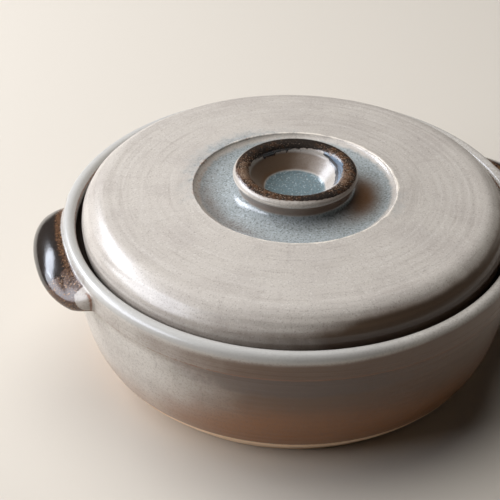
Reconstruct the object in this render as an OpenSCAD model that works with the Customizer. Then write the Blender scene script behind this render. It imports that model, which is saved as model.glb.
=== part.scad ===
// Round clay pot with a lid: a wide bowl with a collared rim and two lug handles,
// and a lid that drops into the rim and lifts by a hollow ring knob.
// The pot's axis is Z, the foot stands on z = 0, and the handles lie along X.

/* [Pot] */
// Outer diameter at the rim
rim_d = 260; // [230:1:320]
// Height from the table to the top of the rim
pot_h = 89; // [84:1:120]
// Outer diameter of the foot
foot_d = 196; // [180:1:206]
// Thickness of the side wall
wall = 8; // [6:0.5:10]
// Thickness of the floor
floor_t = 9; // [6:0.5:12]
// Width of the ring that stands on the table
foot_w = 12; // [8:1:20]
// Height of the hollow inside that ring
foot_hollow = 2; // [1:0.5:4]
// How far the lower wall swells out past the foot
belly = 19; // [12:0.5:21]

/* [Rim] */
// Thickness of the rim, rounded over at the top
rim_t = 8; // [6:0.5:9]
// Height of the collar round the rim
collar_h = 18; // [15:1:20]
// How far the collar stands out from the neck below it
collar_step = 5; // [3:0.5:6]
// Height of the cove that joins the collar to the neck
cove_h = 8; // [6:1:12]
// Depth of the lid's seat below the top of the rim
seat_depth = 13; // [11:0.5:15]
// Width of the ledge that the lid sits on
seat_w = 10; // [8:0.5:13]

/* [Handles] */
// How far each handle reaches out past the rim
lug_reach = 16.5; // [12:0.5:24]
// Angle that each handle covers round the pot
lug_span = 40.5; // [34:0.5:56]
// Height of each handle at its middle
lug_h = 21; // [16:1:24]
// Depth of the handle's middle below the top of the rim
lug_drop = 12; // [11.5:0.5:18]
// How far the handle's ends sit lower than its middle
lug_sag = 2; // [0:0.5:4]

/* [Lid] */
// Gap left all round between the lid and the rim
lid_gap = 3.25; // [1.5:0.25:4]
// Height from the lid's seat to the edge of its recess
lid_h = 30.5; // [27:0.5:40]
// Radius of the lid's rounded shoulder
shoulder_r = 15; // [12:0.5:20]
// Fall of the lid's top from the recess to the shoulder
lid_fall = 4; // [1:0.5:5]
// Thickness of the lid at its shoulder
lid_t = 8; // [6:0.5:9]
// Thickness of the lid under its recess
web_t = 6.5; // [5:0.5:8]
// Width of the edge that the lid rests on
edge_w = 5; // [4:0.5:6]
// How far the lid's side tucks in towards that edge
lid_tuck = 2; // [1:0.5:2.5]

/* [Knob] */
// Diameter of the recess round the knob
recess_d = 113; // [96:1:130]
// Depth of that recess
recess_depth = 4; // [2:0.5:5]
// Outer diameter of the knob's lip
knob_d = 69; // [60:1:74]
// Height of the knob above the recess
knob_h = 15.5; // [14:0.5:22]
// Width of the knob's rounded lip
lip_w = 9.4; // [7:0.2:11]
// Height of the knob's rounded lip
lip_h = 7.4; // [6:0.2:9]
// How far the knob's neck lies inside its lip
neck_inset = 2.8; // [1:0.2:4]
// Radius of the fillet round the foot of the knob
knob_fillet = 5; // [3:0.5:6]
// Depth of the well in the knob
well_depth = 12; // [9:0.5:12.5]
// Diameter of the well's floor
well_floor_d = 35; // [26:1:38]

/* [Hidden] */
$fn = 96;

rim_r = rim_d / 2;
rim_in_r = rim_r - rim_t;
rim_round = rim_t / 2;
foot_r = foot_d / 2;
foot_soft = 1.2;                  // rounding of the foot's edges
floor_z = foot_hollow + floor_t;
seat_z = pot_h - seat_depth;
seat_r = rim_in_r - seat_w;
seat_soft = 1.5;                  // rounding of the ledge's edge and its corner
collar_z = pot_h - collar_h;
collar_lean = 1.2;                // how far the collar draws in at its lower edge
collar_r = rim_r - collar_lean;
collar_soft = 1;                  // rounding of the collar's lower edge
cove_pull = 2;                    // how tightly the cove turns in under the collar
neck_r = rim_r - collar_step;
neck_z = collar_z - cove_h;

swell_z = 14;                     // height at which the wall swells most above the foot
lean = 6;                         // how far the upper wall leans in below the neck
lean_h = 35;                      // length of that lean
heel = 12;                        // how far the inner floor stops short of the foot's edge
in_soft = 2;                      // how much rounder the inner curve is than the outer one
haunch = 7;                       // height over which the wall thickens under the ledge

// The wall's outer curve runs from the foot to the neck, and the inner curve follows it
wall_curve = [[foot_r, foot_soft], [foot_r + belly, swell_z], [neck_r - lean, neck_z - lean_h], [neck_r, neck_z]];
in_curve = [[foot_r - heel, floor_z], [foot_r + belly - wall - in_soft, floor_z],
            [neck_r - lean - wall, neck_z - lean_h + in_soft], [neck_r - wall, neck_z]];
cove_curve = [[neck_r, neck_z], [neck_r + cove_pull / 2, collar_z - cove_pull],
              [collar_r - collar_soft - cove_pull, collar_z], [collar_r - collar_soft, collar_z]];
haunch_curve = [[neck_r - wall, neck_z], [neck_r - wall, neck_z + haunch / 2],
                [seat_r, seat_z - haunch], [seat_r, seat_z - 2 * seat_soft]];

lid_r = rim_in_r - lid_gap;
ring_r = recess_d / 2;
ring_z = seat_z + lid_h;
shoulder_x = lid_r - shoulder_r;
shoulder_z = ring_z - lid_fall - shoulder_r;
web_z = ring_z - recess_depth;
under_z = web_z - web_t;
edge_r = lid_r - lid_tuck;
under_round = shoulder_r - lid_t;

knob_r = knob_d / 2;
neck_out_r = knob_r - neck_inset;
knob_z = web_z + knob_h;
lip_c = [knob_r - lip_w / 2, knob_z - lip_h / 2];
well_z = knob_z - well_depth;
well_r = well_floor_d / 2;
recess_slope = 3;                 // run of the recess's sloping side
ring_soft = 0.6;                  // rounding of the recess's upper edge
well_flare = 1.5;                 // how far the well's side opens above its floor
well_soft = 3;                    // rounding where the well's side meets its floor
edge_soft = 1;                    // chamfer of the edge that the lid rests on

lug_z = pot_h - lug_drop;
lug_mid = lug_h / 2;
lug_bow = [2.2, 0.24];             // exponents of a handle's outline seen from above
lug_thin = [3, 0.3];              // exponents of its height towards the ends
lug_steps = 22;                   // sections along each handle
lug_sides = 12;                   // facets round each section

function mix(a, b, t) = a * (1 - t) + b * t;
function bezier(p, n) = [for (i = [0:n]) let (t = i / n, s = 1 - t)
    s * s * s * p[0] + 3 * s * s * t * p[1] + 3 * s * t * t * p[2] + t * t * t * p[3]];
function arc(c, r, a0, a1, n) = [for (i = [0:n]) let (a = mix(a0, a1, i / n))
    [c[0] + r[0] * cos(a), c[1] + r[1] * sin(a)]];
function turned(p) = [for (i = [len(p) - 1:-1:0]) p[i]];
function tail(p) = [for (i = [1:len(p) - 1]) p[i]];

// The pot's half section, from the middle of the foot up the outside and down the inside
pot_section = concat(
    [[0, foot_hollow], [foot_r - foot_w - foot_hollow, foot_hollow], [foot_r - foot_w, 0]],
    [[foot_r - foot_soft, 0]],
    bezier(wall_curve, 22),
    tail(bezier(cove_curve, 8)),
    tail(arc([collar_r - collar_soft, collar_z + collar_soft], [collar_soft, collar_soft], -90, 0, 5)),
    arc([rim_r - rim_round, pot_h - rim_round], [rim_round, rim_round], 0, 180, 16),
    arc([rim_in_r - seat_soft, seat_z + seat_soft], [seat_soft, seat_soft], 0, -90, 4),
    arc([seat_r + seat_soft, seat_z - seat_soft], [seat_soft, seat_soft], 90, 180, 4),
    turned(tail(bezier(haunch_curve, 8))),
    turned(bezier(in_curve, 20)),
    [[0, floor_z]]);

// The lid's half section, from the middle of its underside out to its edge and back over the top
lid_section = concat(
    [[0, under_z]],
    arc([shoulder_x, under_z - under_round], [under_round, under_round], 90, 0, 8),
    [[edge_r - edge_w, seat_z + edge_soft], [edge_r - edge_w + edge_soft, seat_z]],
    [[edge_r - edge_soft, seat_z], [edge_r, seat_z + edge_soft]],
    arc([shoulder_x, shoulder_z], [shoulder_r, shoulder_r], 0, 87, 14),
    [[ring_r, ring_z]],
    bezier([[ring_r - ring_soft, ring_z - ring_soft], [ring_r - recess_slope, web_z],
            [ring_r - 2 * recess_slope, web_z], [ring_r - 2 * recess_slope - ring_soft, web_z]], 6),
    arc([neck_out_r + knob_fillet, web_z + knob_fillet], [knob_fillet, knob_fillet], 270, 180, 8),
    arc(lip_c, [lip_w / 2, lip_h / 2], -50, 180, 20),
    bezier([[well_r + well_flare, well_z + well_soft], [well_r, well_z + well_soft / 3],
            [well_r, well_z], [well_r - well_soft, well_z]], 5),
    [[0, well_z]]);

// One section of a handle at the fraction t of its half span: radius and height round a rounded nose
function lug_out(t) = pow(1 - pow(abs(t), lug_bow[0]), lug_bow[1]);
function lug_half(t) = lug_mid * pow(1 - pow(abs(t), lug_thin[0]), lug_thin[1]);
function lug_section(t) = let (mid_z = lug_z - lug_sag * t * t)
    [for (i = [0:lug_sides]) let (a = mix(90, -90, i / lug_sides),
        root = mix(neck_r - wall / 2, rim_r - rim_t / 2, (sin(a) + 1) / 2))
        [root + (rim_r + lug_reach - root) * lug_out(t) * cos(a), mid_z + lug_half(t) * sin(a)]];

// A handle swept round the pot's axis from its sections, with its back buried in the wall
module lug() {
    turn = [for (i = [0:lug_steps]) mix(-88, 88, i / lug_steps)];
    rings = [for (u = turn) let (s = lug_section(sin(u)), az = lug_span / 2 * sin(u))
        [for (p = s) [p[0] * cos(az), p[0] * sin(az), p[1]]]];
    n = lug_sides + 1;
    skin = [for (i = [0:lug_steps - 1], j = [0:n - 1]) let (a = i * n + j, b = i * n + (j + 1) % n)
        each [[a, b + n, b], [a, a + n, b + n]]];
    caps = [[for (j = [0:n - 1]) j], [for (j = [n - 1:-1:0]) lug_steps * n + j]];
    polyhedron(points = [for (r = rings) each r], faces = concat(skin, caps), convexity = 4);
}

module pot() {
    color("#a49b91") union() {
        rotate_extrude() polygon(pot_section);
        for (side = [0, 180]) rotate([0, 0, side]) lug();
    }
}

module lid() {
    color("#b5aca2") rotate_extrude() polygon(lid_section);
}

pot();
lid();
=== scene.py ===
# Lidded clay pot for the hob: thrown and glazed stoneware, with a drop-in lid.
# Both pieces are worked out as surfaces on a grid of turn angle and place along the section.
import math

import bpy
import numpy as np
from mathutils import Matrix, Vector


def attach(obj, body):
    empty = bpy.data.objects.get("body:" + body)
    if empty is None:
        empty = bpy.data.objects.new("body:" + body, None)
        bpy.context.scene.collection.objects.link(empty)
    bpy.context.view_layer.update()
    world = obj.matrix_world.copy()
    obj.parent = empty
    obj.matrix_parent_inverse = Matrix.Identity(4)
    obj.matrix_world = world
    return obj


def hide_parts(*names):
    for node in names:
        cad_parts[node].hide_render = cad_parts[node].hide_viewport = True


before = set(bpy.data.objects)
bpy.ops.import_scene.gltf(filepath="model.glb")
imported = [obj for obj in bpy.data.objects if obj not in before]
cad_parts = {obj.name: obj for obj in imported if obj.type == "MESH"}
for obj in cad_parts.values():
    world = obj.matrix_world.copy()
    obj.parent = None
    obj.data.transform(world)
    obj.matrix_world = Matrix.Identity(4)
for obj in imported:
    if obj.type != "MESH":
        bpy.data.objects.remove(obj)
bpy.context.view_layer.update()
print("stage 1: frame loaded,", len(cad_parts), "solids")

mm = 0.001


# Camera: where it looks, how far off it is, and its lens on a 36 mm sensor
view = {
    "target": (-23.7, 6.0, 62.5),   # mm, on the pot near its axis
    "distance": 990.7,              # mm
    "azimuth": -14.28,              # degrees, 0 looks along +Y
    "elevation": 34.7,
    "roll": 0.8,
    "lens": 125.8,                  # mm
}


def makeCamera():
    a, e = math.radians(view["azimuth"]), math.radians(view["elevation"])
    back = Vector((math.sin(a) * math.cos(e), -math.cos(a) * math.cos(e), math.sin(e)))
    right = Vector((math.cos(a), math.sin(a), 0.0))
    up = back.cross(right)
    turn = Matrix((right, up, back)).transposed() @ Matrix.Rotation(math.radians(view["roll"]), 3, "Z")
    data = bpy.data.cameras.new("photoView")
    data.lens = view["lens"]
    data.sensor_width = 36.0
    camera = bpy.data.objects.new("photoView", data)
    place = (Vector(view["target"]) + back * view["distance"]) * mm
    camera.matrix_world = Matrix.Translation(place) @ turn.to_4x4()
    bpy.context.collection.objects.link(camera)
    bpy.context.scene.camera = camera


makeCamera()
print("stage 2: camera placed")


# A cubic curve through its first and last point, pulled by the two between them
def bezier(points, count):
    p = np.array(points, float)
    t = np.linspace(0, 1, count)[:, None]
    s = 1 - t
    return s ** 3 * p[0] + 3 * s * s * t * p[1] + 3 * s * t * t * p[2] + t ** 3 * p[3]


# An elliptical arc about centre, from angle a0 to a1 in degrees
def arc(centre, radii, a0, a1, count):
    a = np.radians(np.linspace(a0, a1, count))
    return np.stack([centre[0] + radii[0] * np.cos(a), centre[1] + radii[1] * np.sin(a)], 1)


# Length run along an outline up to each of its points
def runAlong(points):
    return np.concatenate([[0], np.cumsum(np.hypot(*np.diff(points, axis=0).T))])


# The point of an outline at each given length along it
def pointsAt(points, run, s):
    return np.stack([np.interp(s, run, points[:, 0]), np.interp(s, run, points[:, 1])], 1)


# The same outline with its points spread evenly by length
def evenly(points, count):
    p = np.array(points, float)
    run = runAlong(p)
    return pointsAt(p, run, np.linspace(0, run[-1], count))


# Each point is drawn towards its neighbours, which rounds inner and outer corners alike
def softened(points, rounds):
    p = np.array(points, float)
    for i in range(rounds):
        p[1:-1] = (p[:-2] + 2 * p[1:-1] + p[2:]) / 4
    return p


# Rises smoothly from 0 to 1 as x goes from 0 to 1
def ease(x):
    t = np.clip(x, 0, 1)
    return t * t * (3 - 2 * t)


# A bell of height 1 round the middle, down to a third one width away
def bell(x, middle, width):
    return np.exp(-((x - middle) / width) ** 2)


# The same round the turn, with middle and width in degrees
def bellTurn(turn, middle, width):
    off = np.degrees(np.arctan2(np.sin(turn - math.radians(middle)), np.cos(turn - math.radians(middle))))
    return np.exp(-(off / width) ** 2)


# Painted shade: 1 on the side away from the lamps and 0 elsewhere: it rises from start over fade degrees,
# runs past the front round to the right, and falls between 15 and 60 degrees
def shadedSide(turn, start, fade):
    az = np.degrees(turn) % 360
    return np.where(az > 140, ease((az - start) / fade), ease((60 - az) / 45))


# A slow wave round the turn between about -1 and 1: the mean of one cosine for each count of cycles, with
# phases drawn from the seed
def waver(turn, cycles, seed):
    rng = np.random.default_rng(seed)
    wave = sum(np.cos(c * turn + rng.uniform(0, 2 * math.pi)) for c in cycles)
    return wave / len(cycles)


# Grid of section points (rows) at each turn angle (columns), closed round the turn and at both poles.
# The section starts and ends on the axis, and the faces wind so that they point outwards.
# The "wheel" vector holds a place on a circle of wheelR and the length along the section, in mm, for
# patterns that follow the throwing; each mark is a number per point for the glaze to read.
def turnedMesh(name, r, z, turn, wheelR, marks):
    rows, columns = r.shape
    inner = slice(1, rows - 1)
    x, y = r[inner] * np.cos(turn), r[inner] * np.sin(turn)
    body = np.stack([x, y, z[inner]], -1).reshape(-1, 3)
    poles = np.array([[0, 0, z[0].mean()], [0, 0, z[-1].mean()]])
    points = np.concatenate([body, poles]) * mm
    n = rows - 2
    i, j = np.meshgrid(np.arange(n - 1), np.arange(columns), indexing="ij")
    k = (j + 1) % columns
    quads = np.stack([i * columns + j, i * columns + k, (i + 1) * columns + k, (i + 1) * columns + j], -1)
    quads = quads.reshape(-1, 4)
    j = np.arange(columns)
    k = (j + 1) % columns
    low = np.stack([np.full(columns, len(body)), k, j], -1)
    top = np.stack([np.full(columns, len(body) + 1), (n - 1) * columns + j, (n - 1) * columns + k], -1)
    loops = np.concatenate([quads.ravel(), low.ravel(), top.ravel()])
    sizes = np.concatenate([np.full(len(quads), 4), np.full(2 * columns, 3)])
    mesh = bpy.data.meshes.new(name)
    mesh.vertices.add(len(points))
    mesh.vertices.foreach_set("co", points.ravel())
    mesh.loops.add(len(loops))
    mesh.loops.foreach_set("vertex_index", loops.astype(np.int32))
    mesh.polygons.add(len(sizes))
    mesh.polygons.foreach_set("loop_start", np.concatenate([[0], np.cumsum(sizes)[:-1]]).astype(np.int32))
    mesh.polygons.foreach_set("use_smooth", np.ones(len(sizes), bool))
    mesh.update(calc_edges=True)
    mesh.validate()
    for key, value in marks.items():
        field = np.concatenate([value[inner].reshape(-1), [value[0].mean(), value[-1].mean()]])
        mesh.attributes.new(key, "FLOAT", "POINT").data.foreach_set("value", field.astype(np.float32))
    run = np.cumsum(np.hypot(np.diff(r, axis=0, prepend=r[:1]), np.diff(z, axis=0, prepend=z[:1])), axis=0)
    run = run.mean(1, keepdims=True) + 0 * r
    wheel = np.stack([wheelR * np.cos(turn) + 0 * r, wheelR * np.sin(turn) + 0 * r, run], -1)
    wheel = np.concatenate([wheel[inner].reshape(-1, 3), [[0, 0, run[0, 0]], [0, 0, run[-1, 0]]]])
    places = mesh.attributes.new("wheel", "FLOAT_VECTOR", "POINT")
    places.data.foreach_set("vector", wheel.ravel().astype(np.float32))
    piece = bpy.data.objects.new(name, mesh)
    bpy.context.collection.objects.link(piece)
    return piece


# Moves each grid point along the section's outward normal by lift
def lifted(r, z, lift):
    dr, dz = np.gradient(r, axis=0), np.gradient(z, axis=0)
    size = np.maximum(np.hypot(dr, dz), 1e-9)
    return r + lift * dz / size, z - lift * dr / size


# Pot, in mm and degrees: lugBow is a handle's outline from above, lugThin how it thins out and lugSag how its
# ends sink; droop and front are the left handle's front half, tongue the ash glaze that runs over it, and
# the pairs after tongueLow where painted shade sets in towards the front right, as start and fade, the second
# deepest
pot = {
    "rimR": 129.8, "rimTop": 89.0, "rimT": 8.0, "rimWave": 1.5, "rimWaveAt": 64.0,
    "collarH": 18.0, "collarStep": 5.0, "collarLean": 1.2, "coveH": 8.0, "covePull": 2.0, "edgeR": 0.9,
    "seatDepth": 13.0, "seatW": 10.0, "seatSoft": 1.6, "haunch": 8.0,
    "footR": 98.0, "footW": 12.0, "footHollow": 2.0, "footEdge": 1.2, "footFace": 2.6, "floorT": 9.0,
    "wall": 8.0, "wallFrom": 1.2, "belly": 19.0, "swellZ": 14.0, "lean": 6.0, "leanH": 35.0, "heel": 12.0,
    "lugReach": 146.2, "lugSpan": 40.5, "lugTop": 87.0, "lugLow": 66.5, "lugSag": 2.0, "lugPinch": 0.3,
    "lugBow": (2.2, 0.26), "lugThin": 1.8, "bandTo": 60,
    "droopTop": 85.5, "droopReach": 147.8, "droopFrom": 180.0, "droopTo": 193.0,
    "frontBow": (2.2, 0.68), "frontThin": 0.55, "frontSag": 7.5,
    "tongueFrom": 195.8, "tongueLean": 0.4, "tongueTop": 80, "tongueLow": 72.6,
    "shadeFrom": (208, 50), "deepShadeFrom": (255, 45), "neckEdge": 57.5, "bareTo": 14.9,
    "columns": 436, "ringPitch": 4.2, "ringDepth": 0.07, "shoulderDepth": 0.3, "outOfTrue": 0.16,
}


# Half section of the pot in three stretches: base, foot and outer wall to the neck, the band that the handles
# grow from, which goes over the rim's outer side, and the rest of the rim, the lid's ledge and the inside
def potSection():
    p = pot
    rimR, rimTop, inR = p["rimR"], p["rimTop"], p["rimR"] - p["rimT"]
    rimRound, soft, haunch = p["rimT"] / 2, p["seatSoft"], p["haunch"]
    neckR, collarZ = rimR - p["collarStep"], rimTop - p["collarH"]
    neckZ, collarR = collarZ - p["coveH"], rimR - p["collarLean"]
    floorZ = p["footHollow"] + p["floorT"]
    seatZ, seatR = rimTop - p["seatDepth"], inR - p["seatW"]
    footIn, wallIn = p["footR"] - p["footW"], neckR - p["wall"]
    base = evenly([[0, p["footHollow"]], [footIn - 3, p["footHollow"]]], 5)
    footOut = p["footR"] + p["footEdge"]
    foot = softened(evenly([[footIn - 2.5, p["footHollow"]], [footIn - 0.5, 0], [footOut - 0.4, 0],
                            [footOut, 0.5], [footOut, p["footFace"]]], 20), 1)
    wall = evenly(bezier([[p["footR"], p["wallFrom"]], [p["footR"] + p["belly"], p["swellZ"]],
                          [neckR - p["lean"], neckZ - p["leanH"]], [neckR, neckZ]], 80), 56)[2:-1]
    cove = bezier([[neckR, neckZ], [neckR + p["covePull"] / 2, collarZ - p["covePull"]],
                   [collarR - p["edgeR"] - p["covePull"], collarZ], [collarR - p["edgeR"], collarZ]], 30)
    edge = arc([collarR - p["edgeR"], collarZ + p["edgeR"]], [p["edgeR"]] * 2, -90, 0, 8)
    rim = arc([rimR - rimRound, rimTop - rimRound], [rimRound] * 2, 0, 180, 37)
    split = int(p["bandTo"] / 5)   # the rim has a point every 5 degrees
    band = np.concatenate([cove, edge[1:], rim[:split + 1]])
    gallery = softened(evenly([[inR, rimTop - rimRound - 0.4], [inR, seatZ + soft], [inR - soft, seatZ],
                               [seatR + soft, seatZ], [seatR, seatZ - soft], [seatR, seatZ - 3]], 24), 2)
    under = bezier([[seatR, seatZ - 3.6], [seatR, seatZ - haunch], [wallIn + 0.8, neckZ + haunch / 2],
                    [wallIn, neckZ + 1]], 5)
    inside = evenly(bezier([[wallIn, neckZ], [wallIn - p["lean"], neckZ - p["leanH"] + 2],
                            [p["footR"] + p["belly"] - p["wall"] - 2, floorZ],
                            [p["footR"] - p["heel"], floorZ]], 60), 16)
    floor = evenly([[p["footR"] - p["heel"] - 3, floorZ], [0, floorZ]], 6)
    above = np.concatenate([rim[split + 1:], gallery, under, inside, floor])
    return np.concatenate([base, foot, wall]), band, above


# Shares an outline out between three stretches, each with its own count of points
def shared(points, cuts, counts):
    s = [np.linspace(cuts[i], cuts[i + 1], n, endpoint=i == 2) for i, n in enumerate(counts)]
    return pointsAt(points, runAlong(points), np.concatenate(s))


# The band's section where a handle stands: the wall below, a rounded nose out and back, and the rim above.
# The nose is half an ellipse between its low and its top.
def lugSection(band, counts, top, reach):
    p = pot
    low = p["lugLow"]
    rootLow = np.interp(low, band[:, 1], band[:, 0])
    rootTop = np.interp(top, band[:, 1], band[:, 0])
    a = np.radians(np.linspace(-90, 90, 60))
    root = rootLow + (rootTop - rootLow) * (np.sin(a) + 1) / 2
    nose = np.stack([root + (reach - root) * np.cos(a), (low + top) / 2 + (top - low) / 2 * np.sin(a)], 1)
    whole = np.concatenate([band[band[:, 1] < low - 0.4], nose, band[band[:, 1] > top + 0.3]])
    whole = softened(evenly(whole, 160), 10)
    run = runAlong(whole)
    out = np.flatnonzero(whole[:, 0] > p["rimR"] + 0.3)
    return shared(whole, [0, run[np.argmax(whole[:, 0] > rootLow + 1.5)], run[out[-1]], run[-1]], counts)


# The plain band shared out the same way, with the handle's stretch pinched to the middle of its height
def plainSection(band, counts):
    p = pot
    mid, half = (p["lugLow"] + p["lugTop"]) / 2, (p["lugTop"] - p["lugLow"]) / 2
    cuts = np.interp([band[0, 1], mid - half * p["lugPinch"], mid + half * p["lugPinch"], band[-1, 1]],
                     band[:, 1], runAlong(band))
    return shared(band, cuts, counts)


# Turn angles, close together where a handle's blunt end rises from the wall
def potTurns():
    half = pot["lugSpan"] / 2
    a = np.linspace(-180, 180, 7201)[:-1]
    fromEnd = np.minimum(np.abs(np.abs(a) - half), np.abs(np.abs(a) - (180 - half)))
    inLug = (np.abs(a) < half) | (np.abs(a) > 180 - half)
    weight = 1 + 3.4 * bell(fromEnd, 0, 1.6) + 0.5 * inLug
    run = np.concatenate([[0], np.cumsum(weight)])
    s = np.linspace(0, run[-1], pot["columns"] + 1)[:-1]
    return np.radians(np.interp(s, run, np.concatenate([a, [180]])))


# Angle from the middle of the nearer handle, in radians
def fromLug(turn):
    return np.abs(np.arctan2(np.sin(turn), np.abs(np.cos(turn))))


# How much of a handle stands at each turn: with the way 0 at its middle and 1 at its end, it is 1 less that
# way to bow's first power, all to its second power, blurred by a fortieth of the way
def lugShare(turn, bow):
    half = math.radians(pot["lugSpan"] / 2)
    way = np.linspace(-1.15, 1.15, 1201)
    share = np.clip(1 - np.abs(way) ** bow[0], 0, 1) ** bow[1]
    blur = bell(np.arange(-40, 41), 0, 13.0)
    share = np.convolve(share, blur / blur.sum(), "same")
    return np.interp(fromLug(turn) / half, way, share / share.max(), right=0.0)


def makePot():
    p = pot
    below, band, above = potSection()
    counts = (26, 34, 16)   # rows under, on and over a handle
    plain = plainSection(band, counts)
    lug = lugSection(band, counts, p["lugTop"], p["lugReach"])
    droop = lugSection(band, counts, p["droopTop"], p["droopReach"])
    turn = potTurns()
    # in its front half the left handle draws in earlier, and its top slopes down
    az = np.degrees(turn) % 360
    front = (az > 180) & (az < 270)
    fallen = ease((az - p["droopFrom"]) / (p["droopTo"] - p["droopFrom"])) * front
    share = np.where(front, lugShare(turn, p["frontBow"]), lugShare(turn, p["lugBow"]))
    thin = np.where(front, p["frontThin"], p["lugThin"])
    toEnd = np.abs(np.sin(turn)) / math.sin(math.radians(p["lugSpan"] / 2))
    sag = np.where(front, p["frontSag"], p["lugSag"]) * ease(toEnd ** 2)
    gap = (lug - plain)[:, :, None] + (droop - lug)[:, :, None] * fallen
    bandR = plain[:, :1] + gap[:, 0] * share
    reach = np.clip(bandR - p["rimR"], 0, None)
    bandZ = plain[:, 1:] + gap[:, 1] * share ** thin - sag * np.clip(reach / 8, 0, 1) * share
    flat = np.ones_like(turn)
    r = np.concatenate([below[:, :1] * flat, bandR, above[:, :1] * flat])
    z = np.concatenate([below[:, 1:] * flat, bandZ, above[:, 1:] * flat])
    rows = np.arange(len(r))[:, None]
    first, last = len(below), len(below) + len(bandR)
    reach = np.concatenate([np.zeros((first, len(turn))), reach, np.zeros((len(above), len(turn)))])
    out = (rows < last) & (rows > 24)   # above the base and foot, which are the first 25 rows
    rimZ, collarZ = p["rimTop"] - p["rimT"] / 2, p["rimTop"] - p["collarH"]
    seatZ = p["rimTop"] - p["seatDepth"]
    marks = potMarks(r, z, turn, reach, out, rows)
    # faint throwing rings on the outer wall, climbing in a spiral
    calm = ease((z - 4) / 10) * ease((rimZ - 2 - z) / 6) * out * (reach < 0.05)
    spiral = 2 * math.pi * z / p["ringPitch"] + turn + 1.3 * waver(turn, (1, 2), 3)
    rings = p["ringDepth"] * (np.sin(spiral) + 0.5 * np.sin(2.3 * spiral + 1.0)) * calm
    # the turner's tool left a low shoulder under the neck
    ledge = p["shoulderDepth"] * bell(z, p["neckEdge"], 1.1) * (0.7 + 0.4 * waver(turn, (1, 2, 3), 15)) * calm
    r, z = lifted(r, z, rings + ledge)
    # the wheel left the rim a little out of true, and higher at the back than at the front
    drift = p["outOfTrue"] * (waver(turn, (2, 3, 5), 11) - 1)
    r = r + drift * ease((z - 20) / 50) * (r > 60)
    wave = p["rimWave"] * np.cos(turn - math.radians(p["rimWaveAt"]))
    rise = np.where(rows < last + 20, ease((z - collarZ + 6) / 20), ease((z - seatZ) / 9))
    z = z + wave * rise * (r > 118)
    return turnedMesh("potBody", r, z, turn, p["rimR"], marks)


# Where each coat of the pot's glaze lies, from the true shape: iron in mm inside its edge, the others 0 to 1.
# "out" holds for the rows of the outer wall and the band.
def potMarks(r, z, turn, reach, out, rows):
    p = pot
    away = 9           # mm, well outside any edge
    perDegree = 2.3    # mm along a handle's outline
    x, y = r * np.cos(turn), r * np.sin(turn)
    collarZ, rimZ = p["rimTop"] - p["collarH"], p["rimTop"] - p["rimT"] / 2
    seatZ, inR = p["rimTop"] - p["seatDepth"], p["rimR"] - p["rimT"]
    onLug = ease(reach / 1.5)
    offLug = 1 - onLug
    # a tongue of the ash glaze runs down over the front end of the left handle
    lean = p["tongueLean"] * np.clip(p["tongueTop"] - z, 0, away)
    tongue = (np.degrees(turn) % 360 - p["tongueFrom"] - lean) * perDegree
    tongue = np.minimum(tongue, z - p["tongueLow"]) * (x < 0) - away * (x > 0)
    past = np.degrees(fromLug(turn)) - p["lugSpan"] / 2
    iron = np.minimum(reach - 0.45, -tongue) - np.clip(perDegree * past, 0, away) - away * (~out)
    iron = iron - np.clip(p["lugLow"] - 1 - z, 0, away) - np.clip(z - p["lugTop"] - 0.5, 0, away)
    inside = (~out) & (rows > 60) & (r < inR + 0.2)
    # side and far: painted shade on the side away from the lamps, far where it is deepest
    side, far = shadedSide(turn, *p["shadeFrom"]), shadedSide(turn, *p["deepShadeFrom"])
    # glaze pooled in the cove under the collar, with painted shade in the crease, strongest on the shaded
    # side
    cove = ease((z - p["neckEdge"] + 6) / 9) * ease((collarZ + 0.2 - z) / 1.2) * out * offLug
    cove = cove * (0.15 + 0.85 * side * (1 - 0.85 * far))
    pool = 0.8 * bell(z, p["footHollow"] + p["floorT"], 6.0) * inside
    # the pale rim is drawn back and weakened on the side away from the lamps, as painted shade
    rim = ease((z - rimZ + 2.6 - 3.0 * far) / 3.2) * (r > inR - 0.3) * offLug
    rim = rim * (1 - 0.15 * side - 0.6 * far)
    # break lines on the collar's lower edge, inside the rim and at the ends of the handles
    # the collar's break line is partly painted shade, stronger on the side away from the lamps
    tan = (0.42 + 0.5 * side) * bell(z, collarZ + 0.6, 0.85) * out * (r > p["rimR"] - 3) * offLug
    tan = tan + 0.75 * bell(np.hypot(r - inR, z - rimZ - 1.6), 0, 1.0)
    tan = tan + 0.8 * bell(reach, 0.9, 0.9) * ease((np.abs(y) - 38) / 4) * (reach > 0.02)
    # brown below the rim: some thin glaze, mostly painted shade on the side away from the lamps, and the
    # tongue's own brown
    brownAndShade = out * ease((rimZ + 1.5 + 1.2 * far - z) / (6 - 3 * far)) * offLug
    brownAndShade = brownAndShade * (side + (1 - side) * (0.3 * ease((z - 62) / 6))) + 0.38 * (tongue > -2) * onLug * out
    # low on the wall: painted shade and warm light bounced up from below, on the front and the shaded side
    toastAndShade = out * ease((60 - z) / 34) * offLug
    toastAndShade = toastAndShade * (0.55 * bellTurn(turn, 255, 34) + 0.55 * side + (1 - side) * 0.46 * ease((50 - z) / 35))
    # near-black brown in the gallery that the lid drops into: painted shade in the gap round the lid
    gapShade = (inside | (r > inR - 12)) * (~out) * ease((rimZ - 0.5 - z) / 3) * (z > seatZ - 12)
    bare = ease((p["bareTo"] - z) / 0.7) * (rows < 60)
    # crystals by the rim, low on the nose, and on the front of the left handle
    gold = ease((7 - reach) / 5) * ease((z - 77) / 4) + 0.9 * ease((76 - z) / 7)
    gold = np.clip(gold + 0.95 * ease((-12 - y) / 16) * (x < 0), 0, 0.95)
    return {"iron": iron, "pool": pool, "rim": rim, "cove": cove, "tan": tan, "brownAndShade": brownAndShade, "toastAndShade": toastAndShade,
            "gapShade": gapShade, "bare": bare, "gold": gold}


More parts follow.
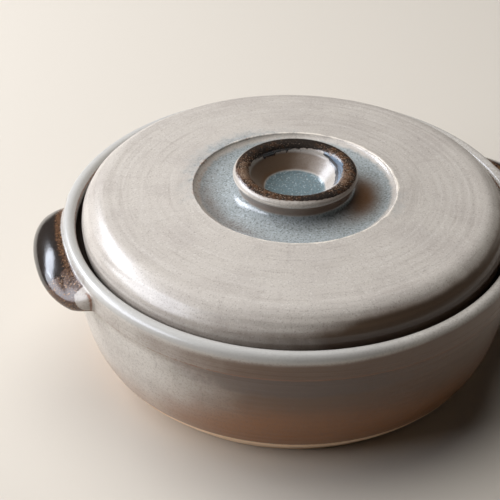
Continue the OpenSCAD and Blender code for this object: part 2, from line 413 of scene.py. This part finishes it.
# Lid, in mm and degrees
lid = {
    "r": 118.55, "seatZ": 76.0, "h": 30.45, "shoulder": 15.0, "fall": 4.0, "t": 8.0, "webT": 6.5,
    "edgeW": 5.0, "tuck": 2.0,
    "recessR": 56.2, "recessDepth": 4.0, "slope": 11.0,
    "knobR": 34.5, "knobH": 15.4, "lipW": 9.4, "lipH": 7.4, "neckInset": 2.8, "fillet": 5.0, "flare": 9.5,
    "lipFrom": -46, "lipTo": 184, "wellDepth": 13.6, "wellFloorR": 15.4, "ridgeZ": 88.5,
    "columns": 412, "ringPitch": 5.3, "ringDepth": 0.055, "ridgeDepth": 0.22, "edgeWaver": 0.22,
    "nickDepth": 0.18, "lowBulge": 1.4, "bulge": 0.4, "flatSpot": 0.5, "lipWaver": 0.004,
}


# Half section of the lid: underside, resting edge, side and shoulder, top, recess, knob and well.
# Beside each point stands its angle round the knob's lip in degrees, 0 outermost and 90 on top.
def lidSection():
    p = lid
    ringZ = p["seatZ"] + p["h"]
    shoulderX, shoulderZ = p["r"] - p["shoulder"], ringZ - p["fall"] - p["shoulder"]
    webZ = ringZ - p["recessDepth"]
    underZ = webZ - p["webT"]
    edgeR, underRound = p["r"] - p["tuck"], p["shoulder"] - p["t"]
    knobTop = webZ + p["knobH"]
    lipX, lipZ = p["knobR"] - p["lipW"] / 2, knobTop - p["lipH"] / 2
    neckR, wellZ, wellR = p["knobR"] - p["neckInset"], knobTop - p["wellDepth"], p["wellFloorR"]
    f = p["fillet"]
    under = evenly([[0, underZ], [shoulderX - 2, underZ]], 7)
    hollow = arc([shoulderX, underZ - underRound], [underRound, underRound], 90, 0, 8)
    edge = softened(evenly([[edgeR - p["edgeW"], p["seatZ"] + 2], [edgeR - p["edgeW"] + 0.4, p["seatZ"]],
                            [edgeR - 0.4, p["seatZ"]], [edgeR, p["seatZ"] + 2]], 14), 1)
    low = bezier([[edgeR, p["seatZ"] + 3], [p["r"] - 0.5, p["seatZ"] + 4], [p["r"], p["seatZ"] + 6.5],
                  [p["r"], shoulderZ]], 20)
    shoulder = arc([shoulderX, shoulderZ], [p["shoulder"]] * 2, 0, 86.8, 60)
    side = evenly(np.concatenate([low, shoulder[1:]]), 52)
    top = evenly([side[-1] + [-1, 0.06], [p["recessR"] + 1.2, ringZ - 0.02]], 40)
    ring = arc([p["recessR"] + 0.7, ringZ - 0.55], [0.75, 0.62], 80, 190, 7)
    fall = evenly(bezier([[p["recessR"] - 0.25, ringZ - 0.9], [p["recessR"] - 1.6, ringZ - 2.9],
                          [p["recessR"] - p["slope"] + 4, webZ], [p["recessR"] - p["slope"], webZ]], 40), 22)
    web = evenly([[p["recessR"] - p["slope"] - 0.8, webZ], [neckR + p["flare"] + 0.8, webZ]], 6)
    foot = arc([neckR + p["flare"], webZ + f], [p["flare"], f], 270, 180, 18)
    lip = arc([lipX, lipZ], [p["lipW"] / 2, p["lipH"] / 2], p["lipFrom"], p["lipTo"], 40)
    well = evenly(bezier([[lipX - p["lipW"] / 2 - 0.3, lipZ - 1.4], [wellR + 4.6, wellZ + 4.0],
                          [wellR + 0.5, wellZ + 0.1], [wellR - 1.4, wellZ]], 40), 20)
    floor = evenly([[wellR - 3.5, wellZ], [0, wellZ]], 8)
    before = np.concatenate([under, hollow, edge, side, top, ring, fall, web, foot])
    lipAngle = np.concatenate([np.full(len(before), -200.0), np.linspace(p["lipFrom"], p["lipTo"], len(lip)),
                               np.linspace(189, 304, len(well)), np.full(len(floor), 400.0)])
    return np.concatenate([before, lip, well, floor]), lipAngle


# Where each coat of the lid's glaze lies: iron in mm inside its edge, the others 0 to 1
def lidMarks(r, z, turn, lipAngle):
    p = lid
    ringZ = p["seatZ"] + p["h"]
    webZ = ringZ - p["recessDepth"]
    wellZ = webZ + p["knobH"] - p["wellDepth"]
    angle = lipAngle[:, None] + 0 * r
    # the iron was brushed round the lip: its outer edge sinks on the right, and it ran in short drips inside
    outer = 48 - 16 * bellTurn(turn, 330, 60) + 10 * bellTurn(turn, 255, 30) + 4 * waver(turn, (2, 3, 5), 53)
    drips = 6 * waver(turn, (7, 11, 17), 57) + 16 * np.clip(waver(turn, (23, 31, 43), 61) - 0.1, 0, 1)
    inner = 150 + drips + 40 * bellTurn(turn, 104, 30) - 20 * bellTurn(turn, 4, 15)
    iron = np.minimum(angle - outer, inner - angle) * 0.073   # mm for each degree round the lip
    # the ash glaze ran together in the recess and the well, and in a faint ring outside the recess
    floor = ease((p["recessR"] - 0.2 - r) / 5) * (r > 30) * (z > webZ - 1) * ease((webZ + 6 - z) / 3)
    well = ease((wellZ + 2.0 - z) / 1.4) * (r < p["wellFloorR"] + 5) * (z > webZ + 1)
    halo = bell(r, 57, 9) * (r > p["recessR"]) * (z > webZ + 2)
    halo = halo * (0.6 * bellTurn(turn, 112, 36) + 0.3 * bellTurn(turn, 165, 30)
                   + 0.3 * bellTurn(turn, 328, 16))
    pool = floor + 1.1 * well + halo
    # break lines on the recess's edge and round the lip
    edge = bell(np.hypot(r - p["recessR"] - 0.2, z - ringZ), 0, 1.3)
    # the pale edge line is partly a painted highlight, strongest on the right and front, where light falls on
    # the recess's inner slope
    litSide = 0.35 + 0.65 * (bellTurn(turn, 20, 75) + 0.7 * bellTurn(turn, 270, 50)).clip(0, 1)
    cream = edge * litSide * (0.8 + 0.5 * waver(turn, (9, 14, 23, 37), 71))
    onLip = 0.9 * bell(angle, 6, 7) * (0.75 + 0.4 * waver(turn, (3, 7, 12), 73))
    # thin marks the knob's side away from the lamps: the pale line under the lip fades there and the neck
    # darkens, as painted shade
    thin = bellTurn(turn, 320, 60)
    cream = cream + onLip * (1 - thin)
    # the tan edge line is partly painted shade where less light falls, and on the recess's left slope, which
    # faces away from the lamps
    tan = 0.5 * edge * (1.1 - litSide) * (1 + 0.6 * waver(turn, (11, 19, 27), 77))
    fallBack = bell(r, p["recessR"] - 2.5, 2.2) * (z > webZ - 1) * (z < ringZ)
    tan = tan + 0.4 * fallBack * bellTurn(turn, 160, 55)
    # brown on the knob's neck and lip, in the well and in the recess: mostly painted shade, with some thin
    # glaze
    neck = ease((-8 - angle) / 6) * ease((z - webZ - 3.6) / 1.6) * (r > 30) * (r < p["knobR"])
    wall = ease((angle - 184) / 8) * ease((z - wellZ - 0.8) / 1.5) * (r < 26)
    # the neck, under the lip and more on the shaded side: painted shade
    brownAndShade = 0.95 * neck * (0.6 + 0.4 * thin)
    # a browner lip band on the shaded right: painted shade
    brownAndShade = brownAndShade + 0.55 * bell(angle, 14, 26) * bellTurn(turn, 320, 58)
    # a brown ring in the well's crease at the left: painted shade
    brownAndShade = brownAndShade + wall * 0.5 * bell(z, wellZ + 2.2, 1.2) * bellTurn(turn, 150, 60)
    inRecess = (r > 33) * (z > webZ - 1) * (z < webZ + 3)
    # the knob's shadow on the recess to its right: painted shadow
    brownAndShade = brownAndShade + inRecess * 0.95 * bell(r, 37, 11) * bellTurn(turn, 336, 38)
    # darker on the recess's left slope, away from the lamps: painted shade
    brownAndShade = brownAndShade + inRecess * 0.45 * bell(r, 50, 8) * bellTurn(turn, 190, 50)
    # painted shade down the lid's side, darkest away from the lamps, and on the well's wall under the lip,
    # over a little brown glaze
    umberAndShade = shadedSide(turn, 253, 26) * ease((ringZ - p["fall"] - z) / 8)
    umberAndShade = umberAndShade + (0.18 + 0.35 * bellTurn(turn, 256, 26)) * ease((98 - z) / 8)
    umberAndShade = umberAndShade * (r > p["r"] - 14) * (z > p["seatZ"] + 1) + wall * (0.32 + 0.68 * bellTurn(turn, 118, 75))
    # painted shade low on the lid's edge, in the gap above the pot
    gapShade = ease((p["seatZ"] + 4 - z) / 1.5) * (r > 60)
    bare = ease((p["seatZ"] + 1.6 - z) / 0.5)
    gold = 0.5 + 0.15 * ease((angle - 60) / 40) + 0.25 * waver(turn, (1, 2, 5), 83)
    # more flecks at the left and right of the lip; on the lit left they also stand in for sheen, a painted
    # highlight
    gold = gold + 0.2 * bellTurn(turn, 190, 50) + 0.2 * bellTurn(turn, 345, 40)
    # a curl of thick glaze that slid down inside the knob, with a dark line of painted shade under its lower
    # edge
    around = np.degrees(np.arctan2(np.sin(turn), np.cos(turn)))
    stop = 176 + 0.85 * (26 - around) + 3 * waver(turn, (13, 21, 34), 91)
    curl = ease((angle - inner + 3) / 4) * ease((around + 32) / 8) * ease((42 - around) / 10)
    opal = curl * ease((stop - angle) / 4)
    curlShade = curl * bell(angle, stop + 3, 11)
    return {"iron": iron, "pool": pool, "wellShade": well, "tan": tan, "cream": cream, "brownAndShade": brownAndShade,
            "umberAndShade": umberAndShade, "gapShade": gapShade, "bare": bare, "gold": gold, "opal": opal, "curlShade": curlShade}


def makeLid():
    p = lid
    section, lipAngle = lidSection()
    turn = np.linspace(0, 2 * math.pi, p["columns"] + 1)[:-1]
    flat = np.ones_like(turn)
    r, z = section[:, :1] * flat, section[:, 1:] * flat
    ringZ = p["seatZ"] + p["h"]
    webZ = ringZ - p["recessDepth"]
    marks = lidMarks(r, z, turn, lipAngle)
    outer = (z > p["seatZ"] + 8) & (np.arange(len(r)) > 30)[:, None]
    # throwing rings on the top and down the shoulder, stronger towards the edge
    along = np.where(r > p["r"] - p["shoulder"], -z, r)
    spiral = 2 * math.pi * along / p["ringPitch"] + turn + waver(turn, (1, 2), 7)
    calm = ease((r - p["recessR"] - 3) / 8) * outer * (0.6 + 0.8 * ease((r - 80) / 30))
    rings = p["ringDepth"] * (np.sin(spiral) + 0.6 * np.sin(1.7 * spiral + 2.0)) * calm
    # a ridge that the trimming tool left low on the side
    ridge = p["ridgeDepth"] * bell(z, p["ridgeZ"], 0.7) * (r > p["r"] - 4)
    ridge = ridge * (1 + waver(turn, (1, 3, 4), 21)) / 2
    r, z = lifted(r, z, rings + ridge)
    # the recess's edge was cut by hand: it wavers, with small nicks
    nearRing = bell(r, p["recessR"], 1.6) * (z > ringZ - 2.5)
    r = r + p["edgeWaver"] * waver(turn, (2, 5, 9, 14, 23), 31) * nearRing
    z = z - p["nickDepth"] * np.clip(waver(turn, (17, 29, 41, 53), 37) - 0.25, 0, 1) * nearRing
    # the lid's side is out of round too: fuller at the front left
    full = p["lowBulge"] * bellTurn(turn, 232, 44) * ease((98 - z) / 9)
    full = full + p["bulge"] * bellTurn(turn, 212, 28) - p["flatSpot"] * bellTurn(turn, 174, 13)
    r = r + full * ease((r - 92) / 20) * (z > p["seatZ"] + 3)
    # the knob's lip is not quite round
    knob = ease((38 - r) / 5) * (z > webZ - 1)
    rise = ease((z - webZ) / 8)
    r = r * (1 + p["lipWaver"] * (waver(turn, (2, 3), 41) - 0.5) * knob * rise)
    return turnedMesh("lidTop", r, z, turn, p["r"], marks)


potPiece = makePot()
lidPiece = makeLid()
print("stage 3: pot", len(potPiece.data.polygons), "faces, lid", len(lidPiece.data.polygons), "faces")


# Turns an sRGB hex colour into the linear values that the nodes take
def linear(code):
    parts = [int(code[i:i + 2], 16) / 255 for i in (1, 3, 5)]
    return [c / 12.92 if c <= 0.04045 else ((c + 0.055) / 1.055) ** 2.4 for c in parts] + [1.0]


# Adds a node with its settings, and sets or links its inputs. A node given as an input stands for its first
# output.
def addNode(tree, kind, inputs=(), **settings):
    item = tree.nodes.new(kind)
    for key, value in settings.items():
        setattr(item, key, value)
    for key, value in dict(inputs).items():
        if isinstance(value, bpy.types.Node):
            value = value.outputs[0]
        if isinstance(value, bpy.types.NodeSocket):
            tree.links.new(value, item.inputs[key])
        else:
            item.inputs[key].default_value = value
    return item


def newMaterial(name):
    material = bpy.data.materials.new(name)
    material.use_nodes = True
    material.node_tree.nodes.clear()
    return material, material.node_tree


# Coats of glaze, laid one over the other. Each takes over where its mark, plus "ragged" times a noise that
# runs between about -0.5 and 0.5, goes from the first to the second value of "edge". The noise has grains of
# "size" mm, in object space or in wheel space, where the third size runs along the section. "within" keeps a
# coat inside another, and "lift" is how far it stands up, in mm.
coats = {
    # cloudy mottling of the ash glaze as it ran and settled, 10 to 30 mm across
    "cloud": {"size": 24, "detail": 3, "ragged": 1, "edge": (-0.12, 0.22), "amount": 0.42,
              "color": "#a79e96", "rough": 0.36},
    # thin pale and dark bands left by the throwing rings, 2 to 3 mm apart
    "bands": {"space": "wheel", "size": (70, 70, 2.4), "detail": 2, "ragged": 1, "edge": (0.0, 0.25),
              "amount": 0.28, "color": "#cbc4bb", "rough": 0.33},
    # smudges that follow the run of the glaze down the side
    "runs": {"space": "wheel", "size": (5, 5, 16), "detail": 2, "ragged": 1, "edge": (0.05, 0.3),
             "amount": 0.3, "color": "#9c928a", "rough": 0.38},
    # brown of thin glaze over the iron-bearing body, and painted shade on shaded sides and in the knob's
    # shadow
    "brownAndShade": {"mark": "brownAndShade", "size": 14, "detail": 3, "ragged": 0.3, "edge": (0.0, 0.95), "amount": 0.95,
             "color": "#5f3f21", "rough": 0.38},
    # orange-brown low on the wall: painted shade and warm light bounced up from below
    "toastAndShade": {"mark": "toastAndShade", "size": (20, 20, 9), "detail": 3, "ragged": 0.3, "edge": (0.0, 1.0),
              "amount": 0.9, "color": "#8f5e36", "rough": 0.45},
    # dark brown: painted shade down the lid's side and on the well's wall, over a little brown glaze
    "umberAndShade": {"mark": "umberAndShade", "size": 9, "detail": 3, "ragged": 0.35, "edge": (0.0, 0.95), "amount": 0.95,
              "color": "#54402e", "rough": 0.36},
    # darker throwing streaks, about 2 mm apart, that show through the brown
    "streaks": {"space": "wheel", "size": (45, 45, 1.9), "detail": 3, "ragged": 1, "edge": (0.02, 0.25),
                "amount": 0.15, "color": "#5b4a3e", "rough": 0.38},
    # near-black: painted shade in the gap between lid and pot
    "gapShade": {"mark": "gapShade", "size": 3, "detail": 2, "ragged": 0.5, "edge": (0.1, 0.8), "amount": 1.0,
             "color": "#2c221b", "rough": 0.6},
    # dull pepper of iron specks in the body, drawn at 0.8 mm so that they show at this distance
    "pepper": {"size": 0.8, "detail": 1, "ragged": 1, "edge": (0.03, 0.26), "amount": 0.5,
               "color": "#7f746b", "rough": 0.42, "lift": -0.01},
    "salt": {"size": 1.1, "detail": 1, "ragged": 1, "edge": (0.05, 0.28), "amount": 0.38,
             "color": "#d9d4cc", "rough": 0.3},
    # the wall's finer and weaker grain
    "dust": {"size": 1.1, "detail": 2, "ragged": 1, "edge": (-0.05, 0.22), "amount": 0.33,
             "color": "#665142", "rough": 0.42, "lift": -0.015},
    # cool pale grey rim: partly the glaze's colour, partly a painted reflection of the light behind the pot
    "rim": {"mark": "rim", "size": 5, "detail": 2, "ragged": 0.35, "edge": (0.15, 0.95), "amount": 0.82,
            "color": "#b1afaa", "rough": 0.3, "lift": 0.04},
    # dark glaze pooled in the cove under the collar, with painted shade in the crease
    "cove": {"mark": "cove", "size": 4, "detail": 2, "ragged": 0.5, "edge": (0.2, 0.9), "amount": 0.6,
             "color": "#574b45", "rough": 0.28},
    # blue-grey where the glaze lies thick, mixed with greige grains
    "pool": {"mark": "pool", "size": 4, "detail": 4, "ragged": 0.8, "edge": (0.1, 0.95), "amount": 0.85,
             "color": "#929a9b", "rough": 0.19, "lift": 0.05},
    "poolPepper": {"within": "pool", "size": 1.1, "detail": 1, "ragged": 1, "edge": (-0.02, 0.2),
                   "amount": 0.8, "color": "#626664", "rough": 0.2, "lift": -0.015},
    "poolSalt": {"within": "pool", "size": 1.2, "detail": 1, "ragged": 1, "edge": (0.03, 0.25),
                 "amount": 0.6, "color": "#bcc5c9", "rough": 0.19},
    # darker teal on the well's floor: painted shade from the knob's lip over the pooled glaze
    "wellShade": {"mark": "wellShade", "size": 3, "detail": 3, "ragged": 0.8, "edge": (0.1, 0.9), "amount": 0.85,
             "color": "#596d72", "rough": 0.2},
    # break lines over the edges, where the glaze drew back to a thin pale or tan film
    "tan": {"mark": "tan", "size": 1.6, "detail": 2, "ragged": 0.9, "edge": (0.25, 0.75), "amount": 0.85,
            "color": "#805539", "rough": 0.4, "lift": -0.03},
    "cream": {"mark": "cream", "size": 1.3, "detail": 2, "ragged": 0.8, "edge": (0.25, 0.7),
              "amount": 0.9, "color": "#e2d8ca", "rough": 0.36, "lift": 0.03},
    # brown rim round the iron glaze, then the iron itself, thicker and glossier
    "halo": {"mark": "iron", "size": 1.8, "detail": 2, "ragged": 1.2, "edge": (-0.9, 0.1), "amount": 0.6,
             "color": "#6d5443", "rough": 0.3},
    "iron": {"mark": "iron", "size": 1.1, "detail": 2, "ragged": 1.3, "edge": (-0.08, 0.12), "amount": 1.0,
             "color": "#29231f", "rough": 0.15, "lift": 0.12},
    "rust": {"within": "iron", "mark": "gold", "size": 2.2, "detail": 3, "ragged": 1.4,
             "edge": (0.5, 1.1), "amount": 0.85, "color": "#533722", "rough": 0.36},
    # golden-brown crystals that float up in the iron glaze, and paler flecks on the knob's lip
    "gold": {"within": "iron", "mark": "gold", "size": 1.0, "detail": 1, "ragged": 3.0,
             "edge": (1.05, 1.8), "amount": 0.85, "color": "#a57c50", "rough": 0.35, "lift": 0.06},
    "grit": {"within": "iron", "mark": "gold", "size": 0.8, "detail": 2, "ragged": 2.6,
             "edge": (0.75, 1.4), "amount": 0.75, "color": "#988471", "rough": 0.32, "lift": 0.05},
    # blue curl of thick glaze, and a dark line of painted shade under its lower edge
    "opal": {"mark": "opal", "size": 2.2, "detail": 2, "ragged": 0.6, "edge": (0.35, 0.7), "amount": 0.9,
             "color": "#4c6175", "rough": 0.24, "lift": 0.2},
    "curlShade": {"mark": "curlShade", "size": 1.2, "detail": 2, "ragged": 0.7, "edge": (0.3, 0.6), "amount": 0.9,
              "color": "#2f3136", "rough": 0.2, "lift": -0.1},
    # unglazed clay, dry and sandy
    "bare": {"mark": "bare", "size": 1.5, "detail": 2, "ragged": 0.5, "edge": (0.3, 0.6), "amount": 1.0,
             "color": "#f3d3b1", "rough": 0.8, "lift": -0.1},
}

glazes = {
    # satin wood-ash glaze on brown stoneware: soft wide highlights, sharper where it pools
    "pot": {"name": "ashGlazedPotStoneware", "color": "#cac4bb", "rough": 0.32,
            "coats": ("cloud", "bands", "runs", "brownAndShade", "toastAndShade", "streaks", "cove", "dust", "rim", "pool",
                      "poolPepper", "tan", "gapShade", "halo", "iron", "rust", "gold", "bare")},
    "lid": {"name": "ashGlazedLidStoneware", "color": "#bbb3a9", "rough": 0.3,
            "coats": ("cloud", "bands", "runs", "pepper", "salt", "umberAndShade", "streaks", "pool", "wellShade",
                      "poolSalt", "poolPepper", "brownAndShade", "tan", "cream", "halo", "iron", "rust", "grit",
                      "opal", "curlShade", "gapShade", "bare")},
}

# Skin of both glazes: a faint orange peel, peel mm from crest to crest and peelLift high, and the glassy top
# layer over the satin
skin = {"peel": 2.5, "peelLift": 0.06, "ior": 1.52, "glass": 0.4, "glassRough": 0.18, "tint": "#f4f8ff"}


def makeGlaze(spec):
    material, tree = newMaterial(spec["name"])
    objectPlace = addNode(tree, "ShaderNodeTexCoord").outputs["Object"]
    wheelPlace = addNode(tree, "ShaderNodeAttribute", attribute_name="wheel").outputs["Vector"]
    color, rough, height, masks = linear(spec["color"]), spec["rough"], 0.0, {}
    for name in spec["coats"]:
        coat = coats[name]
        wheel = coat.get("space") == "wheel"
        scale = [(1.0 if wheel else 1 / mm) / s for s in np.broadcast_to(coat["size"], 3)]
        place = addNode(tree, "ShaderNodeVectorMath", {0: wheelPlace if wheel else objectPlace, 1: scale},
                        operation="MULTIPLY")
        noise = addNode(tree, "ShaderNodeTexNoise", {"Vector": place, "Scale": 1.0, "Detail": coat["detail"]})
        mark = 0.0
        if "mark" in coat:
            mark = addNode(tree, "ShaderNodeAttribute", attribute_name=coat["mark"]).outputs["Fac"]
        field = addNode(tree, "ShaderNodeMath", {0: noise, 1: coat["ragged"], 2: mark},
                        operation="MULTIPLY_ADD")
        start, end = [edge + coat["ragged"] / 2 for edge in coat["edge"]]
        mask = addNode(tree, "ShaderNodeMapRange", {0: field, 1: start, 2: end, 4: coat["amount"]},
                       interpolation_type="SMOOTHSTEP")
        if "within" in coat:
            mask = addNode(tree, "ShaderNodeMath", {0: mask, 1: masks[coat["within"]]}, operation="MULTIPLY")
        masks[name] = mask
        color = addNode(tree, "ShaderNodeMix", {0: mask, 6: color, 7: linear(coat["color"])},
                        data_type="RGBA").outputs[2]
        rough = addNode(tree, "ShaderNodeMix", {0: mask, 2: rough, 3: coat["rough"]})
        if "lift" in coat:
            height = addNode(tree, "ShaderNodeMath", {0: mask, 1: coat["lift"], 2: height},
                             operation="MULTIPLY_ADD")
    peelPlace = addNode(tree, "ShaderNodeVectorMath", {0: objectPlace, 1: [1 / mm / skin["peel"]] * 3},
                        operation="MULTIPLY")
    peel = addNode(tree, "ShaderNodeTexNoise", {"Vector": peelPlace, "Scale": 1.0, "Detail": 2.0})
    height = addNode(tree, "ShaderNodeMath", {0: peel, 1: skin["peelLift"], 2: height},
                     operation="MULTIPLY_ADD")
    bump = addNode(tree, "ShaderNodeBump", {"Height": height, "Distance": mm, "Strength": 1.0})
    shader = addNode(tree, "ShaderNodeBsdfPrincipled", {
        "Base Color": color, "Roughness": rough, "Normal": bump, "IOR": skin["ior"],
        "Coat Weight": skin["glass"], "Coat Roughness": skin["glassRough"],
        "Specular Tint": linear(skin["tint"])})
    addNode(tree, "ShaderNodeOutputMaterial", {"Surface": shader})
    return material


potPiece.data.materials.append(makeGlaze(glazes["pot"]))
lidPiece.data.materials.append(makeGlaze(glazes["lid"]))
for piece, node, slot in ((potPiece, "pot", "pot_glaze"), (lidPiece, "lid", "lid_glaze")):
    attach(piece, "root")
    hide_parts(node)
print("stage 4: glazes made")


# Floor and light: the lamps stand at one distance and face a point a little above the floor, in m and degrees
studio = {
    "floor": "#c6beb2", "wall": "#d9d4cc", "floorSize": 8.0, "distance": 1.5, "aim": (0, 0, 0.09),
    "window": {"azimuth": 174, "elevation": 26, "size": (1.6, 0.9), "power": 23, "color": "#f4f7ff"},
    "farWindow": {"azimuth": 134, "elevation": 34, "size": (0.9, 0.52), "power": 13, "color": "#f0f5ff"},
    # the fill lights the glaze but isn't mirrored in it
    "sky": {"azimuth": 112, "elevation": 71, "size": (1.6, 1.6), "power": 21.5, "color": "#ffffff",
            "mirrored": False},
    "world": 0.02,
}


def makeFloor():
    s = studio["floorSize"] / 2
    mesh = bpy.data.meshes.new("floor")
    mesh.from_pydata([(-s, -s, 0), (s, -s, 0), (s, s, 0), (-s, s, 0)], [], [(0, 1, 2, 3)])
    floor = bpy.data.objects.new("floor", mesh)
    bpy.context.collection.objects.link(floor)
    material, tree = newMaterial("matteBoard")
    shader = addNode(tree, "ShaderNodeBsdfPrincipled", {"Base Color": linear(studio["floor"]),
                                                        "Roughness": 0.9})
    addNode(tree, "ShaderNodeOutputMaterial", {"Surface": shader})
    mesh.materials.append(material)


def makeLight(name):
    s = studio[name]
    a, e = math.radians(s["azimuth"]), math.radians(s["elevation"])
    away = Vector((math.cos(a) * math.cos(e), math.sin(a) * math.cos(e), math.sin(e)))
    data = bpy.data.lights.new(name, "AREA")
    data.shape = "ELLIPSE"
    data.size, data.size_y = s["size"]
    data.energy = s["power"]
    data.color = linear(s["color"])[:3]
    light = bpy.data.objects.new(name, data)
    light.location = away * studio["distance"] + Vector(studio["aim"])
    light.rotation_euler = away.to_track_quat("Z", "Y").to_euler()
    light.visible_glossy = s.get("mirrored", True)
    bpy.context.collection.objects.link(light)


# The camera sees a pale wall, which casts almost no light on the pot
def makeWorld():
    world = bpy.data.worlds.new("studio")
    bpy.context.scene.world = world
    world.use_nodes = True
    tree = world.node_tree
    tree.nodes.clear()
    rays = addNode(tree, "ShaderNodeLightPath")
    dim = addNode(tree, "ShaderNodeBackground", {"Color": (1, 1, 1, 1), "Strength": studio["world"]})
    seen = addNode(tree, "ShaderNodeBackground", {"Color": linear(studio["wall"]), "Strength": 1.0})
    both = addNode(tree, "ShaderNodeMixShader", {0: rays.outputs["Is Camera Ray"], 1: dim, 2: seen})
    addNode(tree, "ShaderNodeOutputWorld", {"Surface": both})


makeFloor()
for lamp in ("window", "farWindow", "sky"):
    makeLight(lamp)
makeWorld()
bpy.context.scene.view_settings.view_transform = "Standard"
print("stage 5: floor and light set")
